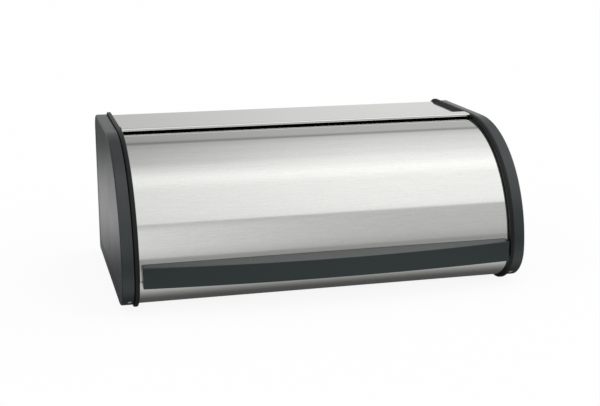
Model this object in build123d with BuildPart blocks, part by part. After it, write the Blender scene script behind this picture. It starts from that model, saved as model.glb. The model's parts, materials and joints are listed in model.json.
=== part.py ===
"""Bread box with a roll-top door: a bent steel body between two moulded ends.

Millimetres. X runs along the box, -Y is the front, +Z is up. The origin is on the
surface that the box stands on, under the middle of its overall box.
"""

import os
from math import asin, atan2, cos, degrees, hypot, radians, sin, sqrt

from build123d import *

os.makedirs("parts", exist_ok=True)

# ---- driving dimensions -------------------------------------------------------------

overall_length = 445.0          # over the two end caps
front_radius = 129.2            # the ends' front arc, about the door's axis
axis_height = 39.2              # door axis above the underside of the ends' band
back_room = 3.05                # how far the back stands behind the front arc's circle
back_top_radius = 19.7
back_bottom_radius = 6.0
corner_land = 0.7               # straight bit between the front arc and the lower corner
foot_drop = 0.8                 # feet below the flanges

# ---- ends, measured inwards along X from the outer face ---------------------------

band_width = 12.7               # moulded band of the cap
groove_gap = 0.8                # shadow groove between band and flange
flange_width = 4.5
flange_rise = 2.5               # flange proud of the band
flange_round = 1.2
cap_wall = 3.0
cap_web = 2.2
cap_round = 1.6
cover_thickness = 2.3
cover_depth = 2.5               # recess that the cover sits in
cover_margin = 3.0              # rim left round the cover at the front and top
cover_foot_back = 12.0          # cover's lower edge above the band, at the back
cover_foot_front = 16.0         # and at the front
cover_back_margin = 13.0
cover_gap = 0.5
cover_corner = 4.0
cover_shoulder = 5.0
cover_round = 0.4
cover_peg_radius = 2.5
cover_peg_length = 3.5
cover_peg_orbit = 88.0
cover_peg_angles = (15.0, 70.0, 125.0, 172.0)
plate_wall = 3.0                # inner plate where it is recessed
plate_ring = 8.0                # full-thickness ring inside the band's outline
spigot_wall = 2.0
spigot_reach = 7.0
spigot_gap = 0.2

# ---- steel sheet --------------------------------------------------------------------

sheet = 0.7
sheet_inset = 1.2               # steel below the band's surface
slot_depth = 1.7                # sheet's edge in the flange
slot_gap = 0.05
lip_drop = 6.0                  # top of the front lip below the axis
roll_start = 28.0               # where the top starts to rise, behind the axis
roll_run = 17.0
roll_radius = 1.8
roll_front = 3.5                # rolled edge in front of the axis
roll_return = 9.0
roll_gap = 0.2                  # rolled edge's ends to the flanges
relief_length = 4.0             # bend relief beside the rolled edge
relief_width = 3.0

# ---- door ---------------------------------------------------------------------------

door_drop = 2.9                 # door's face below the band's front arc
door_low = -3.6                 # lower edge, degrees above the horizontal
door_high = 97.0                # upper edge
door_swing = 80.0               # closed to open
door_gap = 0.7                  # panel's side edges to the flanges
hem = 5.0                       # panel's edges turned inwards
arm_wall = 2.4
shelf_depth = 2.6
shelf_width = 7.0
arm_rib = 2.0                   # rib along each straight edge, degrees
arm_rib_height = 3.0
arm_margin = 2.0                # arm inside the panel's ends, degrees
tab_depth = 15.0
tab_width = 14.0
tab_angles = (12.0, 46.0, 80.0)
rivet_inset = 11.0              # rivet below the panel's face
rivet_radius = 1.6
rivet_head = 2.7
rivet_head_height = 0.8
rivet_taper = 20.0

# ---- pivots -------------------------------------------------------------------------

pin_radius = 4.0
pin_head_radius = 7.0
pin_head_height = 1.5
pin_head_round = 0.5
pin_chamfer = 0.6
running_gap = 0.05
bush_wall = 2.0
bush_flange = 8.5
end_float = 0.4
hub_radius = 11.0
hub_length = 4.0
boss_radius = 9.0
boss_height = 3.0
clip_radius = 7.5
clip_thickness = 0.8
clip_slits = 6
clip_slit_length = 4.0
clip_slit_width = 0.8
clip_land = 2.0                 # pin beyond the clip
cap_plug_radius = 4.5
cap_plug_gap = 0.1
cap_plug_proud = 0.15
cap_plug_round = 0.5
cap_plug_stem = 2.5
cap_plug_stem_length = 3.5

# ---- stops and feet -----------------------------------------------------------------

buffer_radius = 4.0
buffer_orbit = 95.0
buffer_gap = 0.35
buffer_length = 5.4
buffer_round = 0.8
buffer_tail = 1.0
buffer_stem = 2.0
foot_radius = 9.0
foot_round = 1.0
foot_barb_taper = 15.0
foot_waist = 3.0
foot_barb = 4.2
foot_barb_height = 1.5
foot_inset_x = 52.0             # foot from the end of the box
foot_front = 62.0               # front feet ahead of the axis
foot_rear = 100.0               # rear feet behind it

# ---- handle -------------------------------------------------------------------------

handle_end_gap = 3.0            # handle's ends to the flanges
handle_bottom = -11.6           # relative to the axis
handle_top = 11.0
ledge_slope = 1.3               # ledge higher at the door
handle_reach = 8.1              # ends in front of the door's face
bow_top = 15.2
bow_bottom = 9.6
handle_wall = 2.4
lip_clearance = 0.9
handle_rib = 2.0
handle_rib_places = (-110.0, 0.0, 110.0)
handle_depth = 40.0             # deeper than the handle anywhere
handle_depth_behind = 8.0       # how far its blank starts inside the door
handle_screw_places = (-165.0, -55.0, 55.0, 165.0)
handle_screw_angle = 1.0        # up from the axis, degrees
handle_boss = 4.0

# ---- screws -------------------------------------------------------------------------

screw_radius = 1.4
screw_head = 3.0
screw_head_height = 1.6
screw_head_round = 0.6
screw_sink = 0.4
screw_length = 8.5
screw_boss = 4.0
screw_hole_gap = 0.15
socket_radius = 1.5
socket_depth = 0.8
body_screw_inset = 24.5         # from the end of the box
body_boss_width = 12.0
body_boss_height = 10.0
body_boss_length = 14.0
body_screw_front = 70.0
body_screw_rear = 82.0
body_screw_back_drop = 18.0
rim_screw_inset = 8.5
rim_front_angle = 233.0         # on the lower front corner, anticlockwise from +Y
rim_back_angle = 45.0           # on the upper back corner
rim_under_place = 88.0          # under the floor, behind the axis

# ---- what follows from them ---------------------------------------------------------

half_length = overall_length / 2
groove_x = half_length - band_width
flange_out = groove_x - groove_gap
flange_in = flange_out - flange_width
recess_x = flange_out - plate_wall
band_bottom = foot_drop + flange_rise
axis_z = band_bottom + axis_height
back_reach = front_radius + back_room
door_radius = front_radius - door_drop
door_half = flange_in - door_gap
handle_front = door_radius + handle_reach
axis_y = (handle_front + bow_top - back_reach - flange_rise) / 2
front_corner_radius = axis_height - corner_land
roll_crest = front_radius + flange_rise
arm_out = door_half - sheet
arm_in = arm_out - arm_wall
hub_out = arm_in + hub_length
bush_out = recess_x - end_float
pin_seat = arm_in - end_float
cover_out = half_length - cover_depth + cover_thickness
handle_half = flange_in - handle_end_gap
smallest_corner = 0.5
overlap = 1.0                   # how far joined or cut shapes run into each other


def section(x):
    """Plane across the box at x, with its own x along +Y and its y along +Z."""
    return Plane.YZ.offset(x)


def polar(radius, angle):
    """Point in a section plane, from the door's axis, anticlockwise from +Y."""
    return (axis_y + radius * cos(radians(angle)), axis_z + radius * sin(radians(angle)))


def write(builder, name):
    """Label a finished piece and write it."""
    builder.part.label = name
    export_step(builder.part, f"parts/{name}.step")


def write_pair(left, name):
    """Write a left-hand piece and its mirror image on the right."""
    write(left, f"left_{name}")
    with BuildPart() as right:
        mirror(left.part, about=Plane.YZ)
    write(right, f"right_{name}")


def band_line(grow):
    """Closed outline of the band in a section plane, moved outwards by grow."""
    front = axis_y - front_radius - grow
    back = axis_y + back_reach + grow
    low = band_bottom - grow
    top = axis_z + front_radius + grow
    corner = max(front_corner_radius + grow, smallest_corner)
    heel = max(back_bottom_radius + grow, smallest_corner)
    shoulder = max(back_top_radius + grow, smallest_corner)
    with BuildLine() as outline:
        Line((back - shoulder, top), (axis_y, top))
        CenterArc((axis_y, axis_z), front_radius + grow, 90, 90)
        Line((front, axis_z), (front, low + corner))
        CenterArc((front + corner, low + corner), corner, 180, 90)
        Line((front + corner, low), (back - heel, low))
        CenterArc((back - heel, low + heel), heel, 270, 90)
        Line((back, low + heel), (back, top - shoulder))
        CenterArc((back - shoulder, top - shoulder), shoulder, 0, 90)
    return outline.edges()


def sheet_line(rolled):
    """Middle line of the bent sheet, from the front lip round to the top's front edge."""
    depth = sheet_inset + sheet / 2
    front = axis_y - front_radius + depth
    back = axis_y + back_reach - depth
    low = band_bottom + depth
    top = axis_z + front_radius - depth
    corner = front_corner_radius - depth
    heel = back_bottom_radius - depth
    shoulder = back_top_radius - depth
    lip_angle = degrees(asin((axis_z - lip_drop - low - corner) / corner))
    roll = roll_radius - sheet / 2
    rise = axis_z + roll_crest - sheet / 2 - top
    swing = degrees(2 * atan2(rise, roll_run))
    bend = (roll_run**2 + rise**2) / (4 * rise)
    with BuildLine() as path:
        CenterArc((front + corner, low + corner), corner, 180 - lip_angle, 90 + lip_angle)
        Line((front + corner, low), (back - heel, low))
        CenterArc((back - heel, low + heel), heel, 270, 90)
        Line((back, low + heel), (back, top - shoulder))
        CenterArc((back - shoulder, top - shoulder), shoulder, 0, 90)
        flat = Line((back - shoulder, top), (axis_y + roll_start, top))
        if rolled:
            up = JernArc(flat @ 1, (-1, 0), bend, -swing)
            over = JernArc(up @ 1, up % 1, bend, swing)
            crest = Line(over @ 1, (axis_y - roll_front + roll_radius, (over @ 1).Y))
            nose = JernArc(crest @ 1, (-1, 0), roll, 180)
            Line(nose @ 1, nose @ 1 + (roll_return, 0))
    return path.edges()


def cover_outline(gap):
    """Filled outline of a side cover in a section plane, grown by gap."""
    back = axis_y + back_reach - cover_back_margin + gap
    front = axis_y - front_radius
    top = axis_z + front_radius
    heel = band_bottom + cover_foot_back - gap
    toe = band_bottom + cover_foot_front - gap
    with BuildSketch() as outline:
        make_face(band_line(gap - cover_margin))
        with BuildLine():
            Polyline((front, top), (front, toe), (back, heel), (back, top), close=True)
        make_face(mode=Mode.INTERSECT)
        fillet(outline.vertices().sort_by(Axis.Y)[0:2], cover_corner)
        fillet(outline.vertices().group_by(Axis.X)[-1].sort_by(Axis.Y)[-1], cover_shoulder)
    return outline.sketch


def screw(seat, length):
    """Pan-head screw with a hexagon socket; seat is the plane under its head."""
    along = Axis(seat.origin, seat.z_dir)
    with BuildPart() as one:
        with BuildSketch(seat):
            Circle(screw_head)
        extrude(amount=screw_head_height)
        fillet(one.faces().sort_by(along)[-1].edges(), screw_head_round)
        with BuildSketch(seat.offset(screw_head_height)):
            RegularPolygon(socket_radius, 6)
        extrude(amount=-socket_depth, mode=Mode.SUBTRACT)
        with BuildSketch(seat):
            Circle(screw_radius)
        extrude(amount=-length)
    return one.part


def body_screw_seats(side):
    """Seat planes of the body screws on the sheet's outer face, at one end."""
    x = side * (half_length - body_screw_inset)
    low = band_bottom + sheet_inset
    back = axis_y + back_reach - sheet_inset
    return [
        Plane((x, axis_y - body_screw_front, low), x_dir=(1, 0, 0), z_dir=(0, 0, -1)),
        Plane((x, axis_y + body_screw_rear, low), x_dir=(1, 0, 0), z_dir=(0, 0, -1)),
        Plane((x, back, axis_z - body_screw_back_drop), x_dir=(1, 0, 0), z_dir=(0, 1, 0)),
    ]


def rim_stations():
    """Planes on the left band's surface, facing outwards, one for each rim screw."""
    corner_y = axis_y - front_radius + front_corner_radius
    corner_z = band_bottom + front_corner_radius
    shoulder_y = axis_y + back_reach - back_top_radius
    shoulder_z = axis_z + front_radius - back_top_radius
    spots = [
        (corner_y, corner_z, front_corner_radius, rim_front_angle),
        (shoulder_y, shoulder_z, back_top_radius, rim_back_angle),
        (axis_y + rim_under_place, axis_z, axis_height, 270.0),
    ]
    stations = []
    for centre_y, centre_z, radius, angle in spots:
        out = Vector(0, cos(radians(angle)), sin(radians(angle)))
        centre = Vector(-(half_length - rim_screw_inset), centre_y, centre_z)
        stations.append(Plane(centre + out * radius, x_dir=(1, 0, 0), z_dir=out))
    return stations


def handle_seats():
    """Seat planes of the handle screws on the panel's inner face, facing inwards."""
    angle = radians(handle_screw_angle)
    radius = sqrt((door_radius - sheet) ** 2 - screw_head**2)
    y = axis_y - radius * cos(angle)
    z = axis_z + radius * sin(angle)
    inwards = (0, cos(angle), -sin(angle))
    return [Plane((x, y, z), x_dir=(1, 0, 0), z_dir=inwards) for x in handle_screw_places]


# ---- body shell ---------------------------------------------------------------------

sheet_half = flange_in + slot_depth
roll_half = flange_in - roll_gap
floor_low = band_bottom + sheet_inset
foot_spots = [
    (side * (half_length - foot_inset_x), axis_y + y, name)
    for side, end in ((-1, "left"), (1, "right"))
    for y, name in ((-foot_front, f"{end}_front_foot"), (foot_rear, f"{end}_rear_foot"))
]

with BuildPart() as body_shell:
    with BuildSketch(section(0)):
        trace(sheet_line(rolled=True), line_width=sheet)
    extrude(amount=sheet_half, both=True)
    # the rolled edge stands between the flanges, with a bend relief at each end
    with BuildSketch(Plane.XY.offset(axis_z)):
        for side in (-1, 1):
            with Locations((side * sheet_half, axis_y)):
                Rectangle(2 * (sheet_half - roll_half), 2 * roll_start)
            with Locations((side * sheet_half, axis_y + roll_start)):
                Rectangle(2 * (sheet_half - flange_in + relief_width), relief_length)
    extrude(amount=roll_crest + overlap, mode=Mode.SUBTRACT)
    with BuildSketch(Plane.XY.offset(floor_low)):
        for x, y, name in foot_spots:
            with Locations((x, y)):
                Circle(foot_waist)
    extrude(amount=sheet, mode=Mode.SUBTRACT)
    for side in (-1, 1):
        for seat in body_screw_seats(side):
            with BuildSketch(seat):
                Circle(screw_radius + screw_hole_gap)
            extrude(amount=-sheet, mode=Mode.SUBTRACT)
write(body_shell, "body_shell")

# ---- inner plates: side walls, flanges and everything that carries the door --------

buffer_turn = degrees(asin((buffer_radius + buffer_gap) / buffer_orbit))
closing_angle = door_low + arm_margin - buffer_turn
opening_angle = door_high - arm_margin + door_swing + buffer_turn
spigot_grow = -cap_wall - spigot_gap
cap_inside = half_length - cover_depth - cap_web

with BuildPart() as inner_plate:
    with BuildSketch(section(-flange_out)):
        make_face(band_line(flange_rise))
    extrude(amount=flange_width)
    fillet(inner_plate.faces().filter_by(Axis.X).edges(), flange_round)
    with BuildSketch(section(-recess_x)):
        make_face(band_line(-plate_ring))
    extrude(amount=flange_width, mode=Mode.SUBTRACT)
    # spigot that the cap slides over, with a block under each rim screw
    with BuildSketch(section(-flange_out)):
        make_face(band_line(spigot_grow))
        make_face(band_line(spigot_grow - spigot_wall), mode=Mode.SUBTRACT)
    extrude(amount=-spigot_reach)
    block = cap_inside - spigot_gap - flange_out
    for station in rim_stations():
        offset_x = half_length - rim_screw_inset - flange_out - block / 2
        with BuildSketch(station.offset(spigot_grow - spigot_wall / 2)):
            with Locations((offset_x, 0)):
                Rectangle(block, 2 * screw_boss)
        extrude(amount=-screw_length)
    # blocks that the sheet is screwed to
    for seat in body_screw_seats(-1):
        offset_x = half_length - body_screw_inset - recess_x + body_boss_length / 2
        with BuildSketch(seat.offset(-sheet)):
            with Locations((offset_x, 0)):
                Rectangle(body_boss_length, body_boss_width)
        extrude(amount=-body_boss_height)
    with BuildSketch(section(-flange_out)):
        with Locations((axis_y, axis_z)):
            Circle(boss_radius)
    extrude(amount=-boss_height)
    # slot for the sheet's edge
    with BuildSketch(section(-flange_in)):
        trace(sheet_line(rolled=False), line_width=sheet + 2 * slot_gap)
    extrude(amount=-slot_depth - slot_gap, mode=Mode.SUBTRACT)
    # holes for the pin, the buffers' stems and the screws
    with BuildSketch(section(-flange_out - boss_height)):
        with Locations((axis_y, axis_z)):
            Circle(pin_radius)
        with Locations(polar(buffer_orbit, 180 - closing_angle)):
            Circle(buffer_stem)
        with Locations(polar(buffer_orbit, 180 - opening_angle)):
            Circle(buffer_stem)
    extrude(amount=boss_height + flange_width, mode=Mode.SUBTRACT)
    for station in rim_stations():
        with BuildSketch(station):
            Circle(screw_radius)
        extrude(amount=-screw_length - screw_head_height - screw_sink, mode=Mode.SUBTRACT)
    for seat in body_screw_seats(-1):
        with BuildSketch(seat):
            Circle(screw_radius)
        extrude(amount=-screw_length, mode=Mode.SUBTRACT)
write_pair(inner_plate, "inner_plate")

# ---- end caps -----------------------------------------------------------------------

with BuildPart() as end_cap:
    with BuildSketch(section(-half_length)):
        make_face(band_line(0))
    extrude(amount=band_width)
    fillet(end_cap.faces().sort_by(Axis.X)[0].edges(), cap_round)
    with BuildSketch(section(-cap_inside)):
        make_face(band_line(-cap_wall))
    extrude(amount=band_width, mode=Mode.SUBTRACT)
    with BuildSketch(section(-half_length)):
        add(cover_outline(cover_gap))
    extrude(amount=cover_depth, mode=Mode.SUBTRACT)
    with BuildSketch(section(-half_length)):
        with Locations((axis_y, axis_z)):
            Circle(cap_plug_stem)
        for angle in cover_peg_angles:
            with Locations(polar(cover_peg_orbit, angle)):
                Circle(cover_peg_radius)
    extrude(amount=cover_depth + cap_web, mode=Mode.SUBTRACT)
    for station in rim_stations():
        with BuildSketch(station):
            Circle(screw_radius + screw_hole_gap)
        extrude(amount=-screw_length, mode=Mode.SUBTRACT)
        with BuildSketch(station.offset(-screw_sink - screw_head_height)):
            Circle(screw_head + screw_hole_gap)
        extrude(amount=screw_length, mode=Mode.SUBTRACT)
write_pair(end_cap, "end_cap")

# ---- side covers and the plugs over the pivots --------------------------------------

with BuildPart() as side_cover:
    with BuildSketch(section(-cover_out)):
        add(cover_outline(0))
    extrude(amount=cover_thickness)
    fillet(side_cover.faces().sort_by(Axis.X)[0].edges(), cover_round)
    with BuildSketch(section(-half_length + cover_depth)):
        for angle in cover_peg_angles:
            with Locations(polar(cover_peg_orbit, angle)):
                Circle(cover_peg_radius)
    extrude(amount=cover_peg_length)
    with BuildSketch(section(-half_length)):
        with Locations((axis_y, axis_z)):
            Circle(cap_plug_radius + cap_plug_gap)
    extrude(amount=cover_depth, mode=Mode.SUBTRACT)
write_pair(side_cover, "side_cover")

with BuildPart() as pivot_cap:
    with BuildSketch(section(-cover_out - cap_plug_proud)):
        with Locations((axis_y, axis_z)):
            Circle(cap_plug_radius)
    extrude(amount=cover_thickness + cap_plug_proud)
    fillet(pivot_cap.faces().sort_by(Axis.X)[0].edges(), cap_plug_round)
    with BuildSketch(section(-half_length + cover_depth)):
        with Locations((axis_y, axis_z)):
            Circle(cap_plug_stem)
    extrude(amount=cap_plug_stem_length)
write_pair(pivot_cap, "pivot_cap")

# ---- pivots -------------------------------------------------------------------------

with BuildPart() as pivot_pin:
    with BuildSketch(section(-pin_seat)):
        with Locations((axis_y, axis_z)):
            Circle(pin_head_radius)
    extrude(amount=pin_head_height)
    fillet(pivot_pin.faces().sort_by(Axis.X)[-1].edges(), pin_head_round)
    with BuildSketch(section(-pin_seat)):
        with Locations((axis_y, axis_z)):
            Circle(pin_radius)
    extrude(amount=-(flange_out + boss_height + clip_thickness + clip_land - pin_seat))
    chamfer(pivot_pin.faces().sort_by(Axis.X)[0].edges(), pin_chamfer)
write_pair(pivot_pin, "pivot_pin")

with BuildPart() as pivot_clip:
    with BuildSketch(section(-flange_out - boss_height)):
        with Locations((axis_y, axis_z)):
            Circle(clip_radius)
            Circle(pin_radius, mode=Mode.SUBTRACT)
            with PolarLocations(pin_radius, clip_slits):
                Rectangle(clip_slit_length, clip_slit_width, mode=Mode.SUBTRACT)
    extrude(amount=-clip_thickness)
write_pair(pivot_clip, "pivot_clip")

with BuildPart() as pivot_bush:
    with BuildSketch(section(-bush_out)):
        with Locations((axis_y, axis_z)):
            Circle(bush_flange)
    extrude(amount=bush_out - hub_out)
    with BuildSketch(section(-hub_out)):
        with Locations((axis_y, axis_z)):
            Circle(pin_radius + running_gap + bush_wall)
    extrude(amount=hub_length)
    with BuildSketch(section(-bush_out)):
        with Locations((axis_y, axis_z)):
            Circle(pin_radius + running_gap)
    extrude(amount=bush_out - arm_in, mode=Mode.SUBTRACT)
write_pair(pivot_bush, "pivot_bush")

# ---- stops --------------------------------------------------------------------------

for name, angle in (("closing_buffer", closing_angle), ("opening_buffer", opening_angle)):
    with BuildPart() as stop:
        with BuildSketch(section(-recess_x)):
            with Locations(polar(buffer_orbit, 180 - angle)):
                Circle(buffer_radius)
        extrude(amount=buffer_length)
        fillet(stop.faces().sort_by(Axis.X)[-1].edges(), buffer_round)
        with BuildSketch(section(-recess_x)):
            with Locations(polar(buffer_orbit, 180 - angle)):
                Circle(buffer_stem)
        extrude(amount=-plate_wall - buffer_tail)
    write_pair(stop, name)

# ---- feet ---------------------------------------------------------------------------

for x, y, name in foot_spots:
    with BuildPart() as foot:
        with BuildSketch():
            with Locations((x, y)):
                Circle(foot_radius)
        extrude(amount=floor_low)
        fillet(foot.faces().sort_by(Axis.Z)[0].edges(), foot_round)
        with BuildSketch(Plane.XY.offset(floor_low)):
            with Locations((x, y)):
                Circle(foot_waist)
        extrude(amount=sheet)
        with BuildSketch(Plane.XY.offset(floor_low + sheet)):
            with Locations((x, y)):
                Circle(foot_barb)
        extrude(amount=foot_barb_height, taper=foot_barb_taper)
    write(foot, name)

# ---- door arms ----------------------------------------------------------------------

shelf_radius = door_radius - sheet
arm_low = door_low + arm_margin
arm_high = door_high - arm_margin


def ring_line(outer, inner, low, high):
    """Outline of a ring sector about the door's axis; low and high in door degrees."""
    with BuildLine() as edge:
        CenterArc((axis_y, axis_z), outer, 180 - high, high - low)
        Line(polar(outer, 180 - low), polar(inner, 180 - low))
        CenterArc((axis_y, axis_z), inner, 180 - high, high - low)
        Line(polar(inner, 180 - high), polar(outer, 180 - high))
    return edge.edges()


with BuildPart() as door_arm:
    with BuildSketch(section(-arm_out)):
        make_face(ring_line(shelf_radius, hub_radius - overlap, arm_low, arm_high))
        with Locations((axis_y, axis_z)):
            Circle(hub_radius)
    extrude(amount=arm_wall)
    # shelf under the panel and ribs along both radial edges
    with BuildSketch(section(-arm_in)):
        make_face(ring_line(shelf_radius, shelf_radius - shelf_depth, arm_low, arm_high))
    extrude(amount=shelf_width)
    with BuildSketch(section(-arm_in)):
        for angle in (arm_low, arm_high - arm_rib):
            make_face(ring_line(shelf_radius - overlap, hub_radius - overlap, angle, angle + arm_rib))
    extrude(amount=arm_rib_height)
    with BuildSketch(section(-hub_out)):
        with Locations((axis_y, axis_z)):
            Circle(hub_radius)
    extrude(amount=hub_length)
    with BuildSketch(section(-hub_out)):
        with Locations((axis_y, axis_z)):
            Circle(pin_radius + running_gap + bush_wall)
    extrude(amount=hub_length + arm_rib_height, mode=Mode.SUBTRACT)
    with BuildSketch(section(-arm_out)):
        for angle in tab_angles:
            with Locations(polar(door_radius - rivet_inset, 180 - angle)):
                Circle(rivet_radius)
    extrude(amount=arm_wall, mode=Mode.SUBTRACT)
write_pair(door_arm, "door_arm")

# ---- door panel ---------------------------------------------------------------------

hem_angle = degrees(sheet / door_radius)

with BuildPart() as door_panel:
    with BuildSketch(section(0)):
        make_face(ring_line(door_radius, door_radius - sheet, door_low, door_high))
        for angle in (door_low, door_high - hem_angle):
            make_face(ring_line(door_radius, door_radius - hem, angle, angle + hem_angle))
    extrude(amount=door_half, both=True)
    # tabs bent in at the ends, outside the arms
    for side in (-1, 1):
        with BuildSketch(section(side * door_half)):
            for angle in tab_angles:
                with Locations(Location((*polar(door_radius, 180 - angle), 0), (0, 0, 180 - angle))):
                    Rectangle(2 * tab_depth, tab_width)
            with Locations((axis_y, axis_z)):
                Circle(door_radius, mode=Mode.INTERSECT)
            for angle in tab_angles:
                with Locations(polar(door_radius - rivet_inset, 180 - angle)):
                    Circle(rivet_radius, mode=Mode.SUBTRACT)
        extrude(amount=-side * sheet)
    for seat in handle_seats():
        with BuildSketch(seat):
            Circle(screw_radius + screw_hole_gap)
        extrude(amount=-2 * sheet, mode=Mode.SUBTRACT)
write(door_panel, "door_panel")

with BuildPart() as arm_rivets:
    for angle in tab_angles:
        spot = polar(door_radius - rivet_inset, 180 - angle)
        with BuildSketch(section(-door_half)):
            with Locations(spot):
                Circle(rivet_head)
        extrude(amount=-rivet_head_height, taper=rivet_taper)
        with BuildSketch(section(-door_half)):
            with Locations(spot):
                Circle(rivet_radius)
        extrude(amount=door_half - arm_in)
        with BuildSketch(section(-arm_in)):
            with Locations(spot):
                Circle(rivet_head)
        extrude(amount=rivet_head_height, taper=rivet_taper)
write_pair(arm_rivets, "arm_rivets")

# ---- handle -------------------------------------------------------------------------

front_y = axis_y - handle_front


def handle_plan(height, inset, bow, back):
    """Plan of the handle at a height: straight ends and back, bowed front."""
    half = handle_half - inset
    front = front_y + inset
    with BuildSketch(Plane.XY.offset(height)) as plan:
        with BuildLine():
            Polyline((-half, front), (-half, back), (half, back), (half, front))
            ThreePointArc((-half, front), (0, front - bow), (half, front))
        make_face()
    return plan.sketch


bottom_z = axis_z + handle_bottom
top_z = axis_z + handle_top
ledge_z = top_z + ledge_slope
behind = axis_y - door_radius + handle_depth_behind
lip_radius = hypot(front_radius - sheet_inset, lip_drop) + lip_clearance

slope = (bow_top - bow_bottom) / (handle_top - handle_bottom)

with BuildPart() as cavity:
    add(handle_plan(bottom_z + handle_wall, handle_wall, bow_bottom, behind))
    add(handle_plan(top_z - handle_wall, handle_wall, bow_top, behind))
    loft()
    # posts round the screws and ribs between them stay solid
    for seat in handle_seats():
        with BuildSketch(seat):
            Circle(handle_boss)
        extrude(amount=-handle_depth, mode=Mode.SUBTRACT)
    for x in handle_rib_places:
        with BuildSketch(section(x - handle_rib / 2)):
            with Locations((front_y, axis_z)):
                Rectangle(2 * handle_depth, 2 * handle_depth)
        extrude(amount=handle_rib, mode=Mode.SUBTRACT)

with BuildPart() as handle:
    add(handle_plan(bottom_z, 0, bow_bottom, behind))
    add(handle_plan(ledge_z, 0, bow_top + slope * ledge_slope, behind))
    loft()
    # the ledge falls gently from the door to its front edge
    with BuildSketch(section(0)):
        with BuildLine():
            Polyline(
                (front_y - bow_top, top_z),
                (axis_y - door_radius, ledge_z),
                (behind, ledge_z),
                (behind, ledge_z + handle_top),
                (front_y - 2 * bow_top, ledge_z + handle_top),
                (front_y - 2 * bow_top, top_z - ledge_slope),
                close=True,
            )
        make_face()
    extrude(amount=handle_half, both=True, mode=Mode.SUBTRACT)
    add(cavity.part, mode=Mode.SUBTRACT)
    with BuildSketch(section(0)):
        with Locations((axis_y, axis_z)):
            Circle(lip_radius)
        with Locations((front_y, axis_z - lip_drop + lip_clearance - handle_depth)):
            Rectangle(2 * handle_depth, 2 * handle_depth, mode=Mode.INTERSECT)
        with Locations((axis_y, axis_z)):
            Circle(door_radius)
    extrude(amount=handle_half, both=True, mode=Mode.SUBTRACT)
    for seat in handle_seats():
        with BuildSketch(seat):
            Circle(screw_radius)
        extrude(amount=-screw_length, mode=Mode.SUBTRACT)
write(handle, "handle")

# ---- screws -------------------------------------------------------------------------

with BuildPart() as handle_screws:
    for seat in handle_seats():
        add(screw(seat, screw_length))
write(handle_screws, "handle_screws")

with BuildPart() as rim_screws:
    for station in rim_stations():
        add(screw(station.offset(-screw_sink - screw_head_height), screw_length))
write_pair(rim_screws, "rim_screws")

with BuildPart() as body_screws:
    for seat in body_screw_seats(-1):
        add(screw(seat, screw_length))
write_pair(body_screws, "body_screws")
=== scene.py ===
"""Visual model of a bread box with a roll-top door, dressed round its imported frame.

Everything is in metres in the frame's own axes: X along the box, -Y the front, +Z up.
"""

import json
import logging
from collections.abc import Callable, Iterable
from dataclasses import dataclass
from enum import Enum
from math import asin, atan2, ceil, cos, degrees, pi, radians, sin

import bmesh
import bpy
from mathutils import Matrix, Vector


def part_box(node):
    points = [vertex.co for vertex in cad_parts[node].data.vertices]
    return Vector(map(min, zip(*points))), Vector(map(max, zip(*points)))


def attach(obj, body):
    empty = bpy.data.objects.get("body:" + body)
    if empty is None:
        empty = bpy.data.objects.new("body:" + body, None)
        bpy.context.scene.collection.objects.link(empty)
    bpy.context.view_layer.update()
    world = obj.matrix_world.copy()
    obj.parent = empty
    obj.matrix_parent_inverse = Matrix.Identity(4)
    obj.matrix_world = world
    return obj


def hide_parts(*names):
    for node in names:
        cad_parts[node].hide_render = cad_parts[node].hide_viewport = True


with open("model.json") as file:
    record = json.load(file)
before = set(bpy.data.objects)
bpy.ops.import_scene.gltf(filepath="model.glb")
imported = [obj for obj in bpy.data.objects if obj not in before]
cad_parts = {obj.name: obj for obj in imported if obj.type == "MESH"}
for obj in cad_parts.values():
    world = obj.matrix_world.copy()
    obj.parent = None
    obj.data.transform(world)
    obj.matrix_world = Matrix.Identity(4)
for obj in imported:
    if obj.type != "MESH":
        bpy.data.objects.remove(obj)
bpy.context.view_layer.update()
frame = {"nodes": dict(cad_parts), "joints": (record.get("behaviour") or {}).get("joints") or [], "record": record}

MM = 0.001
NEAR = 0.1 * MM
LOG = logging.getLogger("bread_box")
Levels = tuple[tuple[float, float], ...]


class Side(Enum):
    """The two ends of the box, as seen from the front."""

    LEFT = -1
    RIGHT = 1

    @property
    def word(self) -> str:
        """The side's name as it stands in node names."""
        return self.name.lower()


class Body(Enum):
    """The rigid bodies that the pieces ride on."""

    CABINET = "cabinet"
    DOOR = "door"


# ---------------------------------------------------------------------------------
# Shader graphs
# ---------------------------------------------------------------------------------


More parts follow.
